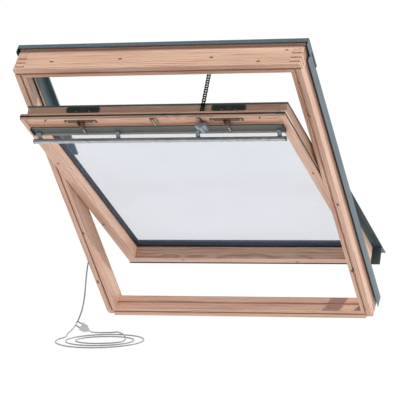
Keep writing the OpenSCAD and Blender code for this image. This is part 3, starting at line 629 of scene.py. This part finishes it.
def stamped(name, shape, matrices, finish, body, nodes):
    """One piece made of copies of a shape at the given matrices, which carry no scale."""
    points = bpy.data.meshes.new(name)
    points.from_pydata([m.translation for m in matrices], [], [])
    turns = points.attributes.new("turn", "FLOAT_VECTOR", "POINT")
    turns.data.foreach_set("vector", [a for m in matrices for a in m.to_euler()])
    piece = grown(new_piece(name, points), placed_tree, shape=shape, material=finish)
    bpy.data.objects.remove(shape)
    if piece.data.attributes.get("turn"):
        piece.data.attributes.remove(piece.data.attributes["turn"])
    return settle(piece, finish, body, nodes, sharp=35)


def rigid(matrix, spot, turn):
    """A turned place in window coordinates as a matrix in metres without scale."""
    placed = (matrix @ Matrix.Translation(spot)).to_translation()
    rotation = matrix.to_quaternion().to_matrix().to_4x4()
    return Matrix.Translation(placed) @ rotation @ turn


def screw_shape(head, height, slot_width=0.9):
    """A pan-head screw with a cross on its head, its seat at the origin."""
    work = bmesh.new()
    lathe(work, [(0, 0), (head / 2, 0), (head / 2, height * 0.45),
                 (head * 0.42, height * 0.8), (head * 0.28, height), (0, height)],
          Matrix.Identity(4), 16)
    for turn in (0, 90):
        bmesh.ops.create_cube(work, size=1.0, matrix=Matrix.Rotation(
            math.radians(turn), 4, "Z") @ Matrix.Translation((0, 0, height - 0.12))
            @ Matrix.Diagonal((head * 0.55, slot_width, 0.3, 1)))
    return from_bmesh("screw_shape", work, SCALE)


def screws(node, matrix, body, places):
    """Stands for a packed set of screws, given the place and turn of each."""
    matrices = [rigid(matrix, spot, turn) for spot, turn in places]
    stamped(node + "_heads", screw_shape(8.4, 2.3), matrices, metal("bright"), body,
            [node])


# ---- pieces ----------------------------------------------------------------------------------

class Builder(bpy.types.Operator):
    """Shared part of the operators, which take their sizes and colours from the scene."""

    bl_idname = "roof_window.builder"
    bl_label = "Builder"
    bl_options = {"REGISTER", "UNDO"}

    def execute(self, context):
        self.build(context.scene.window_sizes)
        return {"FINISHED"}

    def build(self, sizes):
        raise NotImplementedError


class BuildStage(Builder):
    """Camera, floor and lights."""

    bl_idname = "roof_window.stage"
    bl_label = "Stage and camera"

    azimuth, elevation, roll = 19.356, 8.316, -3.072
    distance, lens = 10.1395, 232.06
    aim = Vector((-0.0051, -0.4305, 0.5081))
    sun_from = Vector((0.397, -0.4, 1.0))
    sun_strength, sun_width = 4.6, 1.4
    backdrop = 1.04
    floor_drop = 0.0002

    def build(self, sizes):
        scene = bpy.context.scene
        scene.view_settings.view_transform = "Standard"
        across, up = math.radians(self.azimuth), math.radians(self.elevation)
        back = Vector((math.sin(across) * math.cos(up), -math.cos(across) * math.cos(up),
                       math.sin(up)))
        camera = bpy.data.cameras.new("camera")
        camera.lens, camera.sensor_width = self.lens, 36
        camera.clip_start, camera.clip_end = 0.1, 100
        eye = new_piece("camera", camera)
        eye.rotation_mode = "QUATERNION"
        eye.location = self.aim + back * self.distance
        turn = (-back).to_track_quat("-Z", "Y").to_matrix().to_4x4()
        eye.rotation_quaternion = (turn @ Matrix.Rotation(
            math.radians(self.roll), 4, "Z")).to_quaternion()
        scene.camera = eye

        work = bmesh.new()
        bmesh.ops.create_grid(work, x_segments=1, y_segments=1, size=30)
        floor = from_bmesh("floor", work, Matrix.Translation(
            (0, 0, FLOOR - self.floor_drop)))
        f = Finish("pale_floor")
        x, y, z = f.place()
        mottle = f.noise(x * 0.7, y * 0.7, z, detail=2)
        tone = f.blend(mottle, colour(20, 20, 20), colour(22, 22, 22))
        floor.data.materials.append(f.shade_with(tone, 0.9, None, {
            "Specular IOR Level": 0.0, "Emission Color": (1, 1, 1, 1),
            "Emission Strength": 1.0}))

        world = bpy.data.worlds.new("studio")
        world.use_nodes = True
        nodes, link = world.node_tree.nodes, world.node_tree.links.new
        sky = nodes["Background"]
        sky.inputs["Color"].default_value = (1, 1, 1, 1)
        sides = nodes.new("ShaderNodeTexCoord")
        split = nodes.new("ShaderNodeSeparateXYZ")
        fall = nodes.new("ShaderNodeMapRange")
        link(sides.outputs["Generated"], split.inputs[0])
        link(split.outputs["Y"], fall.inputs["Value"])
        # The backdrop is plain white to the camera, whatever light it gives
        seen = nodes.new("ShaderNodeLightPath")
        bright = nodes.new("ShaderNodeMix")
        bright.inputs["B"].default_value = self.backdrop
        link(seen.outputs["Is Camera Ray"], bright.inputs["Factor"])
        link(fall.outputs[0], bright.inputs["A"])
        link(bright.outputs[0], sky.inputs["Strength"])
        # The room behind the viewer is darker than the side that the window opens to
        for label, value in (("From Min", -0.6), ("From Max", 0.3), ("To Min", 0.34),
                             ("To Max", 0.82)):
            fall.inputs[label].default_value = value
        scene.world = world

        sun = bpy.data.lights.new("sun", "SUN")
        sun.energy, sun.angle = self.sun_strength, math.radians(self.sun_width)
        sun.color = (1.0, 0.96, 0.9)
        lamp = new_piece("sun", sun)
        toward = WINDOW.to_3x3().normalized() @ self.sun_from
        lamp.rotation_mode = "QUATERNION"
        lamp.rotation_quaternion = toward.to_track_quat("Z", "Y")


class BuildTimberFrame(Builder):
    """The four members of the frame and the closing stops."""

    bl_idname = "roof_window.timber_frame"
    bl_label = "Timber frame"

    def build(self, sizes):
        for node, member in (("frame_top_rail", "head"), ("frame_bottom_rail", "sill"),
                             ("frame_left_stile", "left_stile"),
                             ("frame_right_stile", "right_stile")):
            eased(node, pine(member), sizes.timber_edge, "_wood")
        for node in ("frame_top_stops", "frame_left_stop", "frame_right_stop"):
            # The stops get painted shade: their pine is darkened by a 0.35 multiply towards dark
            # brown.
            eased(node, pine("stops", 0.35), sizes.timber_edge / 2, "_wood")


class BuildSashTimber(Builder):
    """The four members of the sash."""

    bl_idname = "roof_window.sash_timber"
    bl_label = "Sash timber"

    def build(self, sizes):
        for node, member in (("sash_top_rail", "sash_head"), ("sash_bottom_rail", "sash_sill"),
                             ("sash_left_stile", "sash_left"),
                             ("sash_right_stile", "sash_right")):
            eased(node, pine(member), sizes.timber_edge, "_wood")


class BuildSeals(Builder):
    """Rubber seals of the frame, the sash and the glass."""

    bl_idname = "roof_window.seals"
    bl_label = "Seals"

    def build(self, sizes):
        for node in ("frame_gasket", "sash_gasket", "glazing_gasket"):
            eased(node, weather_seal(), sizes.sheet_edge, "_rubber")


class BuildGlass(Builder):
    """The two panes and the spacer bar between them."""

    bl_idname = "roof_window.glass"
    bl_label = "Glass unit"

    def build(self, sizes):
        for node in ("inner_pane", "outer_pane"):
            eased(node, clear_glass(), sizes.metal_edge, "_glass", 1)
        eased("pane_spacer", painted("spacer"), sizes.metal_edge, "_bar", 1)


class BuildCladding(Builder):
    """Folded sheet covers of the frame and the sash."""

    bl_idname = "roof_window.cladding"
    bl_label = "Cladding"

    def build(self, sizes):
        for part in ("head", "left", "right", "bottom"):
            eased(f"frame_{part}_cover", lacquered_sheet("frame"), sizes.sheet_edge, "_sheet")
        for part in ("top", "left", "right", "bottom"):
            eased(f"sash_{part}_cover", lacquered_sheet("sash"), sizes.sheet_edge, "_sheet")


# The chain from its casing to its bracket: both ends (s, n), its links and their sizes
CHAIN_OUT = (73.35, 74.0)
CHAIN_END = (122.0, -127.1)
CHAIN_LENGTH = math.dist(CHAIN_OUT, CHAIN_END) - 2
CHAIN_LINKS = 20
CHAIN_PITCH = CHAIN_LENGTH / CHAIN_LINKS
CHAIN_TURN = math.atan2(CHAIN_END[1] - CHAIN_OUT[1], CHAIN_END[0] - CHAIN_OUT[0])
CHAIN_WIDTH = 14
PLATE_SHEET = 1.6
PLATE_STEP = 1.9
PLATE_ROUND = 3.9
PLATE_WAIST = 3.0


def link_outline(start, pitch, radius, waist):
    """A chain plate's outline: two round ends and a drawn-in middle."""
    points = []
    for end, first in ((pitch, -90), (0, 90)):
        for step in range(7):
            turn = math.radians(first + 180 * step / 6)
            points.append((start + end + radius * math.cos(turn), radius * math.sin(turn)))
        points.append((start + pitch / 2, waist if end else -waist))
    return points


class BuildOpener(Builder):
    """The chain opener in the head."""

    bl_idname = "roof_window.opener"
    bl_label = "Chain opener"

    def build(self, sizes):
        for node, finish in (("opener_casing", painted("opener")),
                             ("opener_motor", metal("zinc")),
                             ("opener_gearbox", metal("zinc")),
                             ("opener_board", painted("board")),
                             ("chain_sprocket", metal("zinc")),
                             ("chain_bracket", metal("rivet")),
                             ("chain_pin", metal("brass"))):
            eased(node, finish, sizes.metal_edge, "_metal", 1)
        self.chain(sizes)

    def chain(self, sizes):
        """Inner and outer plates with rollers in a row from the casing to the bracket."""
        pitch = CHAIN_PITCH
        turn = Matrix.Rotation(CHAIN_TURN, 4, "X")
        matrix = WINDOW @ Matrix.Translation((CHAIN_X, *CHAIN_OUT)) @ turn
        plates, rivets = bmesh.new(), bmesh.new()
        for start, outer in ((0, True), (pitch, False)):
            for side in (-1, 1):
                x0 = side * (CHAIN_WIDTH / 2 - (0 if outer else PLATE_STEP))
                prism(plates, link_outline(start, pitch, PLATE_ROUND, PLATE_WAIST),
                      (x0, x0 - side * PLATE_SHEET))
        for k in range(2):
            place = Matrix.Translation((0, k * pitch, 0)) @ Matrix.Rotation(
                math.radians(90), 4, "Y")
            half = CHAIN_WIDTH / 2 + 0.7
            lathe(rivets, [(0, -half), (1.5, -half), (1.9, -half + 0.5), (1.9, half - 0.5),
                           (1.5, half), (0, half)], place, 12)
            lathe(plates, [(0, -2.3), (2.9, -2.3), (2.9, 2.3), (0, 2.3)], place, 14)
        count = int(CHAIN_LENGTH / (2 * pitch))
        for name, work, finish in (("chain_plates", plates, metal("chain")),
                                   ("chain_rivets", rivets, metal("rivet"))):
            piece = from_bmesh(name, work, Matrix.Identity(4))
            piece = grown(piece, row_tree, matrix, count=count, step=(0, 2 * pitch, 0),
                          material=finish)
            settle(piece, finish, "chain", ["push_chain"], 35)


class BuildPivots(Builder):
    """Pivot pins and plates with their screws."""

    bl_idname = "roof_window.pivots"
    bl_label = "Pivots"

    def build(self, sizes):
        for node in ("pivot_pin_left", "pivot_pin_right", "pivot_plate_left",
                     "pivot_plate_right"):
            eased(node, metal("zinc"), sizes.metal_edge, "_metal", 1)
        screws("frame_screws", WINDOW, "frame", [
            ((side * 529, PIVOT_S + k * 45, PIVOT_N), Matrix.Rotation(
                math.radians(-90 * side), 4, "Y")) for side in (-1, 1) for k in (-1, 1)])
        screws("sash_screws", SASH, "sash", [
            ((x + k * 55, 81, ROOM_FACE + 5), Matrix.Rotation(math.pi, 4, "X"))
            for x in (-ARM_X, ARM_X) for k in (-1, 1)])


class BuildSashFittings(Builder):
    """Vent covers, hinge bases, latch rod and studs in the sash's head."""

    bl_idname = "roof_window.sash_fittings"
    bl_label = "Sash fittings"

    def build(self, sizes):
        for node, finish in (("vent_cover_left", painted("moulding")),
                             ("vent_cover_right", painted("moulding")),
                             ("flap_base_left", painted("bronze")),
                             ("flap_base_right", painted("bronze")),
                             ("latch_pin", metal("brass")), ("centre_stud", metal("stud"))):
            eased(node, finish, sizes.sheet_edge, "_part", 2)
        for side, node in ((-1, "vent_cover_left"), (1, "vent_cover_right")):
            self.louvres(side * ARM_X, node)

    def louvres(self, x, node):
        """Slats in both halves of a vent cover and a fixing screw under each half."""
        slats, count, step = bmesh.new(), 11, 4.3
        for half in (-1, 1):
            for row in range(3):
                bmesh.ops.create_cube(slats, size=1.0, matrix=Matrix.Translation(
                    (x + half * 34, OUTER_TOP - 2.6, 73 + row * 5)) @ Matrix.Diagonal(
                        (count * step, 1.6, 1.5, 1)))
        settle(from_bmesh(node + "_slats", slats, SASH), painted("moulding"), "sash",
               [node])
        stamped(node + "_marks", screw_shape(4.6, 1.2), [
            rigid(SASH, (x + k * 26, OUTER_TOP - 3, 69.5), Matrix.Rotation(
                math.radians(90), 4, "X")) for k in (-1, 1)],
            metal("rivet"), "sash", [node])


class BuildFlap(Builder):
    """Ventilation flap with its arms, lock and caps."""

    bl_idname = "roof_window.flap"
    bl_label = "Ventilation flap"

    def build(self, sizes):
        sheet, lip = bmesh.new(), bmesh.new()
        ends = (-FLAP_HALF, FLAP_HALF)
        top, low, room = FLAP_TOP, FLAP_END, FLAP_ROOM
        prism(sheet, [(top + 0.6, room), (top + 4, room), (top + 4.6, room - 0.5),
                      (top + 5.4, room - 0.5), (top + 6, room), (low - 9, room),
                      (low - 8.4, room - 0.6), (low - 7.4, room - 0.6), (low - 6.8, room),
                      (low - 2.1, room), (low - 2.1, room + 3), (top + 2.2, room + 3),
                      (top + 2, room + 5), (top + 0.4, room + 5), (top, room + 4.4),
                      (top, room + 0.6)], ends)
        prism(lip, [(low - 2, room + 3), (low - 2, room - 7), (low - 1.4, room - 8),
                    (low - 0.5, room - 8), (low, room - 7.4), (low, room + 2.4),
                    (low - 0.6, room + 3)], ends)
        for name, work, finish in (("flap_sheet", sheet, painted("flap")),
                                   ("flap_lip", lip, painted("lip"))):
            settle(from_bmesh(name, work, SASH), finish, "flap",
                   ["ventilation_flap"])
        for node, finish in (("flap_arm_left", painted("bronze")),
                             ("flap_arm_right", painted("bronze")),
                             ("flap_end_caps", painted("caps")),
                             ("lock_case", painted("lock"))):
            eased(node, finish, sizes.sheet_edge, "_part", 2)
        screws("flap_screws", SASH, "flap", [
            ((x, FLAP_TOP + step, FLAP_ROOM - 3), Matrix.Rotation(math.pi, 4, "X"))
            for x in (-ARM_X, ARM_X) for step in (14, 28)])


class BuildBar(Builder):
    """Control bar with its brackets and caps."""

    bl_idname = "roof_window.control_bar"
    bl_label = "Control bar"

    def build(self, sizes):
        bar, high, deep = bmesh.new(), 8.5, 7.5
        outline = rounded_outline(2 * high, 2 * deep, 3.6, 6)
        groove = [(-2.4, -deep), (-2.0, -deep + 1.1), (-1.0, -deep + 1.1), (-0.6, -deep)]
        cut = next(i for i, (s, n) in enumerate(outline) if n <= -deep + 0.01)
        outline[cut + 1:cut + 1] = groove
        prism(bar, [(BAR_S + s, BAR_N + n) for s, n in outline], (-FLAP_HALF, FLAP_HALF))
        settle(from_bmesh("bar_profile", bar, SASH), metal("anodised"), "flap",
               ["control_bar"])
        for node, finish in (("bar_brackets", painted("bracket")),
                             ("bar_end_caps", painted("bar_cap"))):
            eased(node, finish, sizes.sheet_edge, "_part", 2)


class BuildCord(Builder):
    """Mains cord from its clamp to the flat plug, lying in a loose coil on the floor."""

    bl_idname = "roof_window.cord"
    bl_label = "Mains cord"

    def build(self, sizes):
        for node in ("supply_lead", "cord_clamp", "plug_body"):
            eased(node, painted("plug"), sizes.metal_edge, "_part", 2)
        eased("plug_blades", metal("dark"), sizes.metal_edge, "_part", 2)
        radius = 0.003
        curve = bpy.data.curves.new("mains_cord", "CURVE")
        curve.dimensions, curve.bevel_depth, curve.bevel_resolution = "3D", radius, 3
        curve.resolution_u, curve.use_fill_caps = 6, True
        points = cord_points()
        spline = curve.splines.new("BEZIER")
        spline.bezier_points.add(len(points) - 1)
        for knot, spot in zip(spline.bezier_points, points):
            knot.co = spot
            knot.handle_left_type = knot.handle_right_type = "AUTO"
        cord = new_piece("mains_cord", curve)
        cord.data.materials.append(painted("sheath"))
        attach(cord, "frame")
        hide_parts("cord_tube", "cord_coil")


# The coil on the floor: centre, half widths of its first turn, and how they shrink by the turn
COIL_CENTRE = (-0.398, -0.571)
COIL_HALF = (0.194, 0.150)
COIL_SHRINK = (0.040, 0.040)
COIL_START = 158
COIL_TURNS = 2.52


def cord_points():
    """The cord's centreline in metres: down from the clamp, the coil, and out to the plug."""
    rest = FLOOR + 0.0032
    down = [(-0.578, -0.1822, 0.2834), (-0.5805, -0.170, 0.266), (-0.588, -0.164, 0.243),
            (-0.599, -0.1655, 0.212), (-0.606, -0.174, 0.168), (-0.6095, -0.185, 0.120),
            (-0.611, -0.201, 0.074), (-0.612, -0.226, 0.033), (-0.6115, -0.268, 0.0),
            (-0.608, -0.322, -0.0215), (-0.601, -0.385, -0.0305), (-0.5935, -0.450, rest)]
    coil = []
    count = int(COIL_TURNS * 20)
    for k in range(count + 1):
        turn = math.radians(COIL_START + 360 * COIL_TURNS * k / count)
        gone = COIL_TURNS * k / count
        coil.append((COIL_CENTRE[0] + (COIL_HALF[0] - COIL_SHRINK[0] * gone) * math.cos(turn),
                     COIL_CENTRE[1] + (COIL_HALF[1] - COIL_SHRINK[1] * gone) * math.sin(turn),
                     rest))
    over = rest + 0.0066
    out = [(-0.318, -0.520, rest + 0.002), (-0.338, -0.486, over), (-0.360, -0.456, over),
           (-0.386, -0.432, over - 0.001), (-0.414, -0.422, rest + 0.0015),
           (-0.442, -0.424, rest + 0.001), (-0.466, -0.436, rest + 0.003),
           (-0.486, -0.452, -0.024)]
    return [Vector(p) for p in down + coil + out]


OPERATORS = (BuildStage, BuildCord, BuildTimberFrame, BuildSashTimber, BuildSeals, BuildGlass,
             BuildCladding, BuildOpener, BuildPivots, BuildSashFittings, BuildFlap, BuildBar)


class RoofWindowPanel(bpy.types.Panel):
    """Sizes, colours and the steps that build the window."""

    bl_idname = "VIEW3D_PT_roof_window"
    bl_label = "Roof window"
    bl_space_type = "VIEW_3D"
    bl_region_type = "UI"
    bl_category = "Roof window"

    def draw(self, context):
        for group in (context.scene.window_sizes, context.scene.window_colours):
            for name in group.bl_rna.properties.keys():
                if name not in ("rna_type", "name"):
                    self.layout.prop(group, name)
        for operator in OPERATORS:
            self.layout.operator(operator.bl_idname)


CLASSES = (WindowColours, WindowSizes, *OPERATORS, RoofWindowPanel)


def register():
    for kind in CLASSES:
        bpy.utils.register_class(kind)
    bpy.types.Scene.window_colours = bpy.props.PointerProperty(type=WindowColours)
    bpy.types.Scene.window_sizes = bpy.props.PointerProperty(type=WindowSizes)


def unregister():
    del bpy.types.Scene.window_sizes
    del bpy.types.Scene.window_colours
    for kind in reversed(CLASSES):
        bpy.utils.unregister_class(kind)


def main():
    register()
    for operator in OPERATORS:
        group, name = operator.bl_idname.split(".")
        getattr(getattr(bpy.ops, group), name)()


if __name__ == "__main__":
    main()
